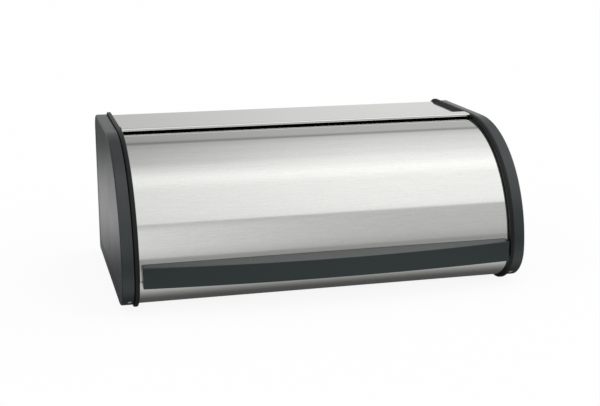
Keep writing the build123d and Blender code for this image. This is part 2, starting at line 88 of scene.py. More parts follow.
class Value:
    """A number on a shader socket that can be used in plain arithmetic."""

    def __init__(self, graph: "Graph", socket: bpy.types.NodeSocket) -> None:
        """Wraps a socket.

        Args:
            graph: the graph that the socket is in.
            socket: the output socket that holds the number.
        """
        self.graph = graph
        self.socket = socket

    def _maths(self, operation: str, *terms: "Value | float") -> "Value":
        """Adds a Math node.

        Args:
            operation: the node's operation.
            *terms: its inputs in order.

        Returns:
            The node's result.
        """
        inputs = {index: term for index, term in enumerate(terms)}
        return self.graph.node("ShaderNodeMath", {"operation": operation}, inputs).value()

    def __add__(self, other: "Value | float") -> "Value":
        """Sum."""
        return self._maths("ADD", self, other)

    def __sub__(self, other: "Value | float") -> "Value":
        """Difference."""
        return self._maths("SUBTRACT", self, other)

    def __rsub__(self, other: "Value | float") -> "Value":
        """Difference with this value taken away."""
        return self._maths("SUBTRACT", other, self)

    def __mul__(self, other: "Value | float") -> "Value":
        """Product."""
        return self._maths("MULTIPLY", self, other)

    def turn_from(self, along: "Value") -> "Value":
        """Angle of the direction (along, self) in radians."""
        return self._maths("ARCTAN2", self, along)

    def step(self, low: float, high: float) -> "Value":
        """Smooth rise from 0 at low to 1 at high.

        Args:
            low: where the rise starts.
            high: where it ends.

        Returns:
            The clamped, smoothed share of the way.
        """
        settings = {"interpolation_type": "SMOOTHSTEP"}
        inputs = {"Value": self, "From Min": low, "From Max": high}
        return self.graph.node("ShaderNodeMapRange", settings, inputs).value("Result")


class Made:
    """A node that was just added, with its outputs by name."""

    def __init__(self, graph: "Graph", node: bpy.types.Node) -> None:
        """Wraps a node of a graph."""
        self.graph = graph
        self.node = node

    def out(self, name: str | int = 0) -> bpy.types.NodeSocket:
        """Output socket by name or number."""
        return self.node.outputs[name]

    def value(self, name: str | int = 0) -> Value:
        """Output as a number for arithmetic."""
        return Value(self.graph, self.node.outputs[name])


class Graph:
    """A node tree that is filled by method calls."""

    def __init__(self, tree: bpy.types.NodeTree) -> None:
        """Empties a node tree and takes it over."""
        tree.nodes.clear()
        self.tree = tree

    def node(self, kind: str, settings: dict | None = None, inputs: dict | None = None) -> Made:
        """Adds a node: its settings first, then its sockets.

        Args:
            kind: the node's type.
            settings: properties of the node; "stops" fills a colour ramp.
            inputs: socket name or number to a value, a socket, a Value or a Made.

        Returns:
            The node.
        """
        made = self.tree.nodes.new(kind)
        for name, setting in (settings or {}).items():
            if name == "stops":
                self._fill_ramp(made.color_ramp, setting)
            else:
                setattr(made, name, setting)
        for name, given in (inputs or {}).items():
            socket = made.inputs[name]
            if isinstance(given, Made):
                self.tree.links.new(given.out(), socket)
            elif isinstance(given, Value):
                self.tree.links.new(given.socket, socket)
            elif isinstance(given, bpy.types.NodeSocket):
                self.tree.links.new(given, socket)
            else:
                socket.default_value = given
        return Made(self, made)

    @staticmethod
    def _fill_ramp(ramp: bpy.types.ColorRamp, stops: list[tuple[float, float]]) -> None:
        """Sets a grey ramp's stops, each a place and a level."""
        while len(ramp.elements) < len(stops):
            ramp.elements.new(0.5)
        for element, (place, level) in zip(ramp.elements, stops):
            element.position = place
            element.color = (level, level, level, 1)

    def noise(self, vector: Made, scale: float, detail: float = 2.0) -> Value:
        """Noise of a frequency on a vector, centred on one half."""
        inputs = {"Vector": vector, "Scale": scale, "Detail": detail, "Roughness": 0.5}
        return self.node("ShaderNodeTexNoise", None, inputs).value()

    def stretched(self, x: float, y: float, z: float) -> Made:
        """Object coordinates multiplied along each axis."""
        place = self.node("ShaderNodeTexCoord").out("Object")
        return self.node("ShaderNodeMapping", None, {"Vector": place, "Scale": (x, y, z)})

    def tint(self, colour: tuple[float, float, float], share: Value) -> Made:
        """A colour scaled by a number."""
        scaled = {0: (*colour,), 3: share}
        return self.node("ShaderNodeVectorMath", {"operation": "SCALE"}, scaled)

    def bump(self, height: Value, depth: float) -> Made:
        """Bump of a depth in metres."""
        inputs = {"Height": height, "Distance": depth, "Strength": 1.0}
        return self.node("ShaderNodeBump", None, inputs)


# ---------------------------------------------------------------------------------
# Finishes
# ---------------------------------------------------------------------------------


@dataclass(frozen=True)
class Finish:
    """What every finish shares: a name and a principled shader."""

    name: str

    def open(self) -> tuple[bpy.types.Material, Graph]:
        """Makes an empty material.

        Returns:
            The material and its graph.
        """
        material = bpy.data.materials.new(self.name)
        material.use_nodes = True
        return material, Graph(material.node_tree)

    @staticmethod
    def close(graph: Graph, inputs: dict) -> None:
        """Adds the principled shader and the output.

        Args:
            graph: the material's graph.
            inputs: the principled shader's inputs.
        """
        shader = graph.node("ShaderNodeBsdfPrincipled", None, inputs)
        graph.node("ShaderNodeOutputMaterial", None, {"Surface": shader})


@dataclass(frozen=True)
class SatinSteel(Finish):
    """Stainless sheet brushed along the box."""

    colour: tuple[float, float, float] = (0.728, 0.734, 0.708)
    roughness: float = 0.095
    grain: float = 0.055
    cloud: float = 0.03

    def make(self) -> bpy.types.Material:
        """Builds the material."""
        material, graph = self.open()
        fine = graph.noise(graph.stretched(260, 620, 620), 1.0, 3.0)
        long = graph.noise(graph.stretched(40, 760, 760), 1.0, 2.0)
        cloudy = graph.noise(graph.stretched(7, 22, 22), 1.0, 2.0)
        brushed = (fine - 0.5) * self.grain + (long - 0.5) * self.grain
        level = brushed * 2.0 + (cloudy - 0.5) * self.cloud + 1.0
        rough = (long - 0.5) * 0.05 + (cloudy - 0.5) * 0.03 + self.roughness
        across = graph.noise(graph.stretched(2600, 160, 160), 1.0, 2.0)
        wave = graph.bump(across, 0.0000005)
        inputs = {
            "Base Color": graph.tint(self.colour, level),
            "Metallic": 1.0,
            "Roughness": rough,
            "Normal": wave,
        }
        self.close(graph, inputs)
        return material


@dataclass(frozen=True)
class MouldedPlastic(Finish):
    """Dark moulded plastic with a fine spark-eroded grain."""

    colour: tuple[float, float, float] = (0.0078, 0.0138, 0.0152)
    roughness: float = 0.30
    grain_depth: float = 0.000010
    index: float = 1.62

    def make(self) -> bpy.types.Material:
        """Builds the material."""
        material, graph = self.open()
        spark = graph.noise(graph.stretched(2200, 2200, 2200), 1.0, 2.0)
        flow = graph.noise(graph.stretched(18, 18, 18), 1.0, 3.0)
        rough = (flow - 0.5) * 0.10 + (spark - 0.5) * 0.10 + self.roughness
        inputs = {
            "Base Color": graph.tint(self.colour, (flow - 0.5) * 0.35 + 1.0),
            "Roughness": rough,
            "Normal": graph.bump(spark, self.grain_depth),
            "IOR": self.index,
        }
        self.close(graph, inputs)
        return material


@dataclass(frozen=True)
class Rubber(Finish):
    """Matt black rubber."""

    colour: tuple[float, float, float] = (0.018, 0.018, 0.019)

    def make(self) -> bpy.types.Material:
        """Builds the material."""
        material, graph = self.open()
        dust = graph.noise(graph.stretched(900, 900, 900), 1.0, 4.0)
        inputs = {
            "Base Color": graph.tint(self.colour, dust * 0.8 + 0.6),
            "Roughness": dust * 0.2 + 0.6,
            "Normal": graph.bump(dust, 0.00003),
        }
        self.close(graph, inputs)
        return material


@dataclass(frozen=True)
class TurnedMetal(Finish):
    """Small metal parts: screws, pins, clips and rivets."""

    colour: tuple[float, float, float] = (0.78, 0.78, 0.77)
    roughness: float = 0.2

    def make(self) -> bpy.types.Material:
        """Builds the material."""
        material, graph = self.open()
        wear = graph.noise(graph.stretched(1500, 1500, 1500), 1.0, 3.0)
        inputs = {
            "Base Color": graph.tint(self.colour, wear * 0.2 + 0.9),
            "Metallic": 1.0,
            "Roughness": (wear - 0.5) * 0.2 + self.roughness,
            "Normal": graph.bump(wear, 0.000004),
        }
        self.close(graph, inputs)
        return material


class Finishes:
    """Every finish of the box, made once, by the record's slot names."""

    def __init__(self) -> None:
        """Makes the materials."""
        self.by_slot = {
            "stainless": SatinSteel("satin_steel").make(),
            "stainless_door": SatinSteel("satin_steel_door").make(),
            "cap_plastic": MouldedPlastic("cap_plastic").make(),
            "plate_plastic": MouldedPlastic(
                "plate_plastic", (0.005, 0.007, 0.0078), 0.42, index=1.33
            ).make(),
            "cover_plastic": MouldedPlastic("cover_plastic", roughness=0.26).make(),
            "arm_plastic": MouldedPlastic("arm_plastic").make(),
            "handle_plastic": MouldedPlastic(
                "handle_plastic", (0.0066, 0.0165, 0.0170), 0.26, index=1.5
            ).make(),
            "nylon": MouldedPlastic("nylon", (0.72, 0.70, 0.63), 0.4).make(),
            "rubber": Rubber("rubber").make(),
            "pin_steel": TurnedMetal("pin_steel", (0.6, 0.6, 0.6), 0.25).make(),
            "spring_steel": TurnedMetal("spring_steel", (0.3, 0.3, 0.33), 0.3).make(),
            "screw_steel": TurnedMetal("screw_steel", (0.92, 0.92, 0.91), 0.42).make(),
            "rivet_aluminium": TurnedMetal("rivet_aluminium", (0.82, 0.82, 0.83), 0.3).make(),
        }

    def dress_nodes(self) -> None:
        """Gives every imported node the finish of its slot."""
        for row in frame["record"]["subparts"]:
            mesh = frame["nodes"][row["node"]].data
            mesh.materials.clear()
            mesh.materials.append(self.by_slot[row["material_slot"]])

    def dress(self, piece: bpy.types.Object, slot: str) -> None:
        """Gives a new piece the finish of a slot."""
        piece.data.materials.clear()
        piece.data.materials.append(self.by_slot[slot])


# ---------------------------------------------------------------------------------
# Modelling bench
# ---------------------------------------------------------------------------------


@dataclass(frozen=True)
class Turn:
    """A round stretch of a walk in the YZ plane, anticlockwise from +Y to +Z."""

    y: float
    z: float
    angle: float
    steps: int


@dataclass(frozen=True)
class Run:
    """A straight stretch of a walk in the YZ plane."""

    y: float
    z: float


def steps_for(radius: float, angle: float) -> int:
    """Number of straight bits that draw an arc smoothly.

    Args:
        radius: of the arc, in metres.
        angle: of the arc, in degrees.

    Returns:
        The number of steps.
    """
    finest = 1.0
    coarsest = 9.0
    wanted = degrees(1.6 * MM / max(radius, NEAR))
    return ceil(abs(angle) / min(max(wanted, finest), coarsest))


class Bench:
    """One piece being modelled with edit-mode operators."""

    def __init__(self, name: str) -> None:
        """Clears the bench for a new piece."""
        self.name = name
        if bpy.context.mode != "OBJECT":
            bpy.ops.object.mode_set(mode="OBJECT")
        bpy.ops.object.select_all(action="DESELECT")
        self.object: bpy.types.Object | None = None

    def _adopt(self) -> "Bench":
        """Takes the new primitive over, with its place in its mesh."""
        self.object = bpy.context.object
        self.object.name = self.name
        self.object.data.name = self.name
        bpy.ops.object.transform_apply(location=True, rotation=True, scale=True)
        bpy.ops.object.mode_set(mode="EDIT")
        bpy.ops.mesh.select_mode(type="VERT")
        bpy.ops.mesh.select_all(action="SELECT")
        return self

    def point(self, x: float, y: float, z: float) -> "Bench":
        """Starts from a single point."""
        bpy.ops.mesh.primitive_plane_add(size=MM, location=(x, y, z))
        self._adopt()
        bpy.ops.mesh.merge(type="CENTER")
        return self

    def block(self, low: Vector, high: Vector) -> "Bench":
        """Starts from a block between two corners."""
        bpy.ops.mesh.primitive_cube_add(size=1, location=(low + high) / 2, scale=high - low)
        return self._adopt()

    def rod(self, radius: float, length: float, middle: Vector, along: Vector) -> "Bench":
        """Starts from a round rod.

        Args:
            radius: of the rod.
            length: of the rod.
            middle: its centre.
            along: its direction.

        Returns:
            The bench.
        """
        turned = Vector((0, 0, 1)).rotation_difference(along).to_euler()
        bpy.ops.mesh.primitive_cylinder_add(
            vertices=48, radius=radius, depth=length, location=middle, rotation=turned
        )
        return self._adopt()

    def draw(self, steps: Iterable[tuple[float, float, float]]) -> "Bench":
        """Draws on from the selected point by steps."""
        for step in steps:
            bpy.ops.mesh.extrude_region_move(TRANSFORM_OT_translate={"value": step})
        return self

    def walk(self, stretches: Iterable[Run | Turn]) -> "Bench":
        """Sweeps what is selected along runs and turns."""
        for stretch in stretches:
            if isinstance(stretch, Run):
                self.draw([(0, stretch.y, stretch.z)])
            else:
                bpy.ops.mesh.spin(
                    steps=stretch.steps,
                    angle=-radians(stretch.angle),
                    center=(0, stretch.y, stretch.z),
                    axis=(1, 0, 0),
                )
        return self

    def everything(self) -> "Bench":
        """Selects the whole mesh."""
        bpy.ops.mesh.select_all(action="SELECT")
        return self

    def weld(self, distance: float = 0.02 * MM) -> "Bench":
        """Merges points that meet."""
        self.everything()
        bpy.ops.mesh.remove_doubles(threshold=distance)
        return self

    def fill(self) -> "Bench":
        """Fills the selected loop with one face."""
        bpy.ops.mesh.edge_face_add()
        return self

    def outwards(self) -> "Bench":
        """Turns all faces outwards."""
        self.everything()
        bpy.ops.mesh.normals_make_consistent(inside=False)
        return self

    def outwards_from(self, middle: Vector) -> "Bench":
        """Turns an open sheet's faces away from a point inside its bend."""
        self.outwards()
        shape = bmesh.from_edit_mesh(self.object.data)
        away = sum(
            face.calc_area() * face.normal.dot(face.calc_center_median() - middle)
            for face in shape.faces
        )
        if away < 0:
            bpy.ops.mesh.flip_normals()
        return self

    def pick(self, part: str, test: Callable[[Vector, object], bool]) -> "Bench":
        """Selects the parts of the mesh that pass a test.

        Args:
            part: "verts", "edges" or "faces".
            test: takes an element's middle and the element itself.

        Returns:
            The bench.
        """
        kind = {"verts": "VERT", "edges": "EDGE", "faces": "FACE"}[part]
        bpy.ops.mesh.select_mode(type=kind)
        bpy.ops.mesh.select_all(action="DESELECT")
        shape = bmesh.from_edit_mesh(self.object.data)
        for element in getattr(shape, part):
            if part == "verts":
                middle = element.co
            elif part == "edges":
                middle = (element.verts[0].co + element.verts[1].co) / 2
            else:
                middle = element.calc_center_median()
            if test(middle, element):
                element.select_set(True)
        shape.select_flush_mode()
        bmesh.update_edit_mesh(self.object.data)
        return self

    def pick_sharp(self, test: Callable[[Vector], bool], sharper: float = 50.0) -> "Bench":
        """Selects the creases that are sharp and whose middle passes a test."""

        def sharp(middle: Vector, edge: object) -> bool:
            """A crease between two faces at a wide angle."""
            faces = edge.link_faces
            bent = len(faces) == 2 and faces[0].normal.angle(faces[1].normal, 0) > radians(sharper)
            return bent and test(middle)

        return self.pick("edges", sharp)

    def drop(self, kind: str = "FACE") -> "Bench":
        """Deletes what is selected."""
        bpy.ops.mesh.delete(type=kind)
        return self

    def push(self, x: float, y: float, z: float) -> "Bench":
        """Extrudes what is selected and moves it."""
        bpy.ops.mesh.extrude_region_move(TRANSFORM_OT_translate={"value": (x, y, z)})
        return self

    def bevel(self, width: float, segments: int) -> "Bench":
        """Rounds the selected edges."""
        bpy.ops.mesh.bevel(offset=width, segments=segments, affect="EDGES", clamp_overlap=True)
        return self

    def trim(self, place: Vector, outward: Vector) -> "Bench":
        """Cuts everything away beyond a plane and closes the cut."""
        self.everything()
        bpy.ops.mesh.bisect(
            plane_co=place, plane_no=outward, use_fill=True, clear_outer=True, clear_inner=False
        )
        return self

    def modify(self, kind: str, **settings: object) -> "Bench":
        """Adds a modifier and applies it.

        Args:
            kind: the modifier's type.
            **settings: its properties.

        Returns:
            The bench.
        """
        bpy.ops.object.mode_set(mode="OBJECT")
        bpy.ops.object.select_all(action="DESELECT")
        self.object.select_set(True)
        bpy.context.view_layer.objects.active = self.object
        modifier = self.object.modifiers.new(kind.lower(), kind)
        for name, setting in settings.items():
            setattr(modifier, name, setting)
        bpy.ops.object.modifier_apply(modifier=modifier.name)
        bpy.ops.object.mode_set(mode="EDIT")
        return self

    def cut(self, tool: "Bench") -> "Bench":
        """Takes another piece out of this one and throws the tool away."""
        bpy.ops.object.mode_set(mode="OBJECT")
        self.modify("BOOLEAN", object=tool.object, operation="DIFFERENCE", solver="EXACT")
        bpy.data.objects.remove(tool.object)
        return self

    def rest(self) -> "Bench":
        """Leaves edit mode, for a piece that is only a tool."""
        bpy.ops.object.mode_set(mode="OBJECT")
        return self

    def finish(self, smooth: float = 32.0) -> bpy.types.Object:
        """Closes the piece.

        Args:
            smooth: creases sharper than this many degrees stay crisp.

        Returns:
            The finished object.
        """
        bpy.ops.object.mode_set(mode="OBJECT")
        bpy.ops.object.select_all(action="DESELECT")
        self.object.select_set(True)
        bpy.context.view_layer.objects.active = self.object
        bpy.ops.object.shade_smooth_by_angle(angle=radians(smooth))
        modifier = self.object.modifiers.new("flat_faces", "WEIGHTED_NORMAL")
        modifier.keep_sharp = True
        bpy.ops.object.modifier_apply(modifier=modifier.name)
        self.object.select_set(False)
        return self.object


def place(piece: bpy.types.Object, body: Body, nodes: Iterable[str]) -> None:
    """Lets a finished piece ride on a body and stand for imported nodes.

    Args:
        piece: the finished object.
        body: what it moves with.
        nodes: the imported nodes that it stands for.
    """
    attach(piece, body.value)
    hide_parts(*nodes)
    faces = len(piece.data.polygons)
    LOG.info("%s stands for %s with %d faces", piece.name, ", ".join(nodes), faces)


# ---------------------------------------------------------------------------------
# The box's outline
# ---------------------------------------------------------------------------------


@dataclass(frozen=True)
class Outline:
    """Outline of the moulded band in a section across the box."""

    axis_y: float
    axis_z: float
    front: float
    back: float
    low: float
    top: float
    land: float = 0.7 * MM
    shoulder: float = 19.7 * MM
    heel: float = 6.0 * MM
    least: float = 0.5 * MM

    @classmethod
    def from_frame(cls) -> "Outline":
        """Reads the outline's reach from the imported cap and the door's axis."""
        low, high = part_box("left_end_cap")
        axis = next(j for j in frame["joints"] if j["name"] == "door_roll")["pos_m"]
        return cls(axis[1], axis[2], low.y, high.y, low.z, high.z)

    @property
    def radius(self) -> float:
        """Radius of the front arc about the door's axis."""
        return self.axis_y - self.front

    def top_start(self, grow: float) -> tuple[float, float]:
        """Point of the outline over the axis, moved outwards by grow."""
        return self.axis_y, self.top + grow

    def walk(self, grow: float) -> list[Run | Turn]:
        """The whole outline from over the axis, round by the front, and back.

        Args:
            grow: how far the outline is moved outwards.

        Returns:
            The runs and turns in order.
        """
        front, back = self.front - grow, self.back + grow
        low, top = self.low - grow, self.top + grow
        corner = max(self.axis_z - self.low - self.land + grow, self.least)
        heel = max(self.heel + grow, self.least)
        shoulder = max(self.shoulder + grow, self.least)
        return [
            Turn(self.axis_y, self.axis_z, 90, steps_for(self.radius, 90)),
            Run(0, low + corner - self.axis_z),
            Turn(front + corner, low + corner, 90, steps_for(corner, 90)),
            Run(back - heel - front - corner, 0),
            Turn(back - heel, low + heel, 90, steps_for(heel, 90)),
            Run(0, top - shoulder - low - heel),
            Turn(back - shoulder, top - shoulder, 90, steps_for(shoulder, 90)),
            Run(self.axis_y - back + shoulder, 0),
        ]

    def slab(self, name: str, grow: float, start: float, depth: float) -> Bench:
        """A solid slab with this outline.

        Args:
            name: of the piece.
            grow: how far the outline is moved outwards.
            start: where the slab starts along X.
            depth: how far it goes along X from there.

        Returns:
            The slab in edit mode.
        """
        bench = Bench(name).point(start, *self.top_start(grow)).walk(self.walk(grow))
        bench.weld().everything().fill().push(depth, 0, 0)
        return bench.outwards()


# ---------------------------------------------------------------------------------
# The moulded ends
# ---------------------------------------------------------------------------------


@dataclass
class End:
    """One moulded end: cap, let-in cover and pivot plug."""

    side: Side
    outline: Outline
    finishes: Finishes
    cap_round: float = 1.8 * MM
    cap_inner_round: float = 0.35 * MM
    rim_round: float = 0.25 * MM
    cover_margin: float = 3.0 * MM
    cover_gap: float = 0.5 * MM
    cover_back: float = 13.0 * MM
    cover_heel: float = 12.0 * MM
    cover_toe: float = 16.0 * MM
    cover_corner: float = 4.0 * MM
    cover_round: float = 0.4 * MM
    cover_play: float = 0.05 * MM
    hole_gap: float = 0.25 * MM
    plug_sink: float = 0.3 * MM
    plug_round: float = 0.5 * MM
    recess: float = 2.5 * MM
    cap_web: float = 2.2 * MM
    cap_wall: float = 3.0 * MM
    hollow_depth: float = 20 * MM
    pocket_radius: float = 3.3 * MM
    pocket_depth: float = 2.0 * MM
    screw_angles: tuple[float, float] = (233.0, 45.0)
    screw_under: float = 88.0 * MM
    straight_down: float = 270.0

    def node(self, name: str) -> str:
        """Name of this end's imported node."""
        return f"{self.side.word}_{name}"

    def reach(self, name: str) -> tuple[float, float]:
        """Where a node starts and stops along X, the outer end first."""
        low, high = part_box(self.node(name))
        return (low.x, high.x) if self.side is Side.LEFT else (high.x, low.x)

    def cover_slab(self, name: str, gap: float, start: float, depth: float) -> Bench:
        """A slab with the side cover's outline.

        Args:
            name: of the piece.
            gap: how far it is grown all round.
            start: where it starts along X.
            depth: how far it goes along X.

        Returns:
            The slab in edit mode.
        """
        o = self.outline
        bench = o.slab(name, gap - self.cover_margin, start, depth)
        bench.trim(Vector((0, o.back - self.cover_back + gap, 0)), Vector((0, 1, 0)))
        rise = (self.cover_toe - self.cover_heel) / (o.back - o.front)
        foot = Vector((0, o.back, o.low + self.cover_heel - gap))
        bench.trim(foot, Vector((0, -rise, -1)))
        bench.pick_sharp(lambda middle: abs(middle.x - start - depth / 2) < abs(depth) / 4, 20)
        bench.bevel(self.cover_corner, 6)
        return bench.outwards()

    def pockets(self) -> list[Bench]:
        """Round tools that sink the rim screws' pockets."""
        o = self.outline
        corner = o.axis_z - o.low - o.land
        low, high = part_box(self.node("rim_screws"))
        x = (low.x + high.x) / 2
        spots = [
            (o.front + corner, o.low + corner, corner, self.screw_angles[0]),
            (o.back - o.shoulder, o.top - o.shoulder, o.shoulder, self.screw_angles[1]),
            (o.axis_y + self.screw_under, o.axis_z, o.axis_z - o.low, self.straight_down),
        ]
        tools = []
        for y, z, radius, angle in spots:
            out = Vector((0, cos(radians(angle)), sin(radians(angle))))
            middle = Vector((x, y, z)) + out * radius
            pocket = Bench("pocket").rod(self.pocket_radius, 2 * self.pocket_depth, middle, out)
            tools.append(pocket.rest())
        return tools

    def build_cap(self) -> None:
        """The tray that closes the end, with its rounded edge and recess."""
        outer, inner = self.reach("end_cap")
        bench = self.outline.slab(self.node("cap"), 0, outer, inner - outer)
        bench.pick_sharp(lambda middle: abs(middle.x - outer) < NEAR).bevel(self.cap_round, 5)
        bench.pick_sharp(lambda middle: abs(middle.x - inner) < NEAR)
        bench.bevel(self.cap_inner_round, 2)
        inwards = (inner - outer) / abs(inner - outer)
        start = outer - inwards * self.recess
        bench.rest()
        tool = self.cover_slab("recess", self.cover_gap, start, inwards * 2 * self.recess).rest()
        bench.cut(tool)
        web_inside = outer + inwards * (self.recess + self.cap_web)
        hollow = self.outline.slab(
            "hollow", -self.cap_wall, web_inside, inwards * self.hollow_depth
        )
        bench.cut(hollow.rest())
        for tool in self.pockets():
            bench.cut(tool)
        bench.outwards()
        bench.pick_sharp(lambda middle: abs(middle.x - outer) < NEAR / 2, 60)
        bench.bevel(self.rim_round, 2)
        piece = bench.finish()
        self.finishes.dress(piece, "cap_plastic")
        place(piece, Body.CABINET, [self.node("end_cap")])

    def build_cover(self) -> None:
        """The flat panel let into the cap, with the hole for the pivot plug."""
        outer, _ = self.reach("side_cover")
        cap_outer, _ = self.reach("end_cap")
        sign = -self.side.value
        depth = sign * (self.recess - abs(cap_outer - outer) - self.cover_play)
        bench = self.cover_slab(self.node("cover"), 0, outer, depth).rest()
        low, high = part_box(self.node("pivot_cap"))
        radius = (high.z - low.z) / 2
        plug_outer, _ = self.reach("pivot_cap")
        middle = Vector((plug_outer, self.outline.axis_y, self.outline.axis_z))
        along = Vector((1, 0, 0))
        hole = Bench("hole").rod(radius + self.hole_gap, 2 * self.recess, middle, along)
        bench.cut(hole.rest())
        bench.pick_sharp(
            lambda point: abs(point.x - outer) < NEAR and (point - middle).length > 2 * radius
        )
        bench.bevel(self.cover_round, 3)
        piece = bench.outwards().finish()
        self.finishes.dress(piece, "cover_plastic")
        place(piece, Body.CABINET, [self.node("side_cover")])
        plug = Bench(self.node("plug"))
        seat = middle - Vector((depth / -2, 0, 0))
        plug.rod(radius, self.recess - self.plug_sink, seat, along)
        plug.pick_sharp(lambda point: True).bevel(self.plug_round, 3)
        plug_piece = plug.finish()
        self.finishes.dress(plug_piece, "cover_plastic")
        place(plug_piece, Body.CABINET, [self.node("pivot_cap")])

    def build(self) -> None:
        """Builds the whole end."""
        self.build_cap()
        self.build_cover()


# ---------------------------------------------------------------------------------
# The steel body
# ---------------------------------------------------------------------------------


@dataclass
class Shell:
    """The bent steel sheet: lip, floor, back and top with its rolled front edge."""

    outline: Outline
    finishes: Finishes
    inset: float = 1.2 * MM
    gauge: float = 0.7 * MM
    lip_drop: float = 6.0 * MM
    roll_start: float = 28.0 * MM
    roll_run: float = 17.0 * MM
    roll_radius: float = 1.8 * MM
    roll_front: float = 3.5 * MM
    roll_return: float = 9.0 * MM
    relief_length: float = 4.0 * MM
    relief_width: float = 4.2 * MM
    roll_inset: float = (0.8 + 4.5 + 0.2) * MM

    def build(self) -> None:
        """Sweeps the sheet's outer face and gives it its gauge."""
        o = self.outline
        _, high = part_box("body_shell")
        corner = o.axis_z - o.low - o.land - self.inset
        corner_y, corner_z = o.front + self.inset + corner, o.low + self.inset + corner
        heel, shoulder = o.heel - self.inset, o.shoulder - self.inset
        back, top = o.back - self.inset, o.top - self.inset
        lip = degrees(asin((o.axis_z - self.lip_drop - corner_z) / corner))
        rise = high.z - top
        bend = (self.roll_run**2 + rise**2) / (4 * rise)
        swing = degrees(2 * atan2(rise, self.roll_run))
        roll_y = o.axis_y + self.roll_start
        over_y, over_z = roll_y - self.roll_run, top + rise - bend
        nose_y = o.axis_y - self.roll_front + self.roll_radius
        half = high.x
        roll_half = self.roll_half()
        relief = roll_half - self.relief_width
        stops = [-half, -roll_half, -relief, relief, roll_half, half]
        bench = Bench("steel_body")
        start_y = corner_y - corner * cos(radians(lip))
        bench.point(stops[0], start_y, corner_z + corner * sin(radians(lip)))
        bench.draw((b - a, 0, 0) for a, b in zip(stops, stops[1:])).everything()
        bench.walk([
            Turn(corner_y, corner_z, 90 + lip, steps_for(corner, 90)),
            Run(back - heel - corner_y, 0),
            Turn(back - heel, o.low + self.inset + heel, 90, steps_for(heel, 90)),
            Run(0, top - shoulder - o.low - self.inset - heel),
            Turn(back - shoulder, top - shoulder, 90, steps_for(shoulder, 90)),
            Run(roll_y + self.relief_length / 2 - back + shoulder, 0),
            Run(-self.relief_length / 2, 0),
            Turn(roll_y, top + bend, -swing, steps_for(bend, swing)),
            Turn(over_y, over_z, swing, steps_for(bend, swing)),
            Run(nose_y - over_y, 0),
            Turn(nose_y, high.z - self.roll_radius, 180, 14),
            Run(self.roll_return, 0),
        ])
        bench.weld()
        edge = roll_y + self.relief_length / 2
        above = o.axis_z + o.radius / 2
        bench.pick("faces", lambda m, f: m.z > above and m.y < edge and abs(m.x) > roll_half)
        bench.drop()
        notch = roll_y - self.relief_length / 2
        bench.pick("faces", lambda m, f: m.z > above and notch < m.y < edge and abs(m.x) > relief)
        bench.drop()
        bench.outwards_from(Vector((0, o.axis_y, o.axis_z)))
        bench.modify("SOLIDIFY", thickness=self.gauge, offset=-1, use_even_offset=True)
        piece = bench.finish()
        self.finishes.dress(piece, "stainless")
        place(piece, Body.CABINET, ["body_shell"])

    def roll_half(self) -> float:
        """Half the rolled edge: short of the groove, the flange and a clearance."""
        _, cap_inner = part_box("left_end_cap")
        return -cap_inner.x - self.roll_inset


# ---------------------------------------------------------------------------------
# The door
# ---------------------------------------------------------------------------------


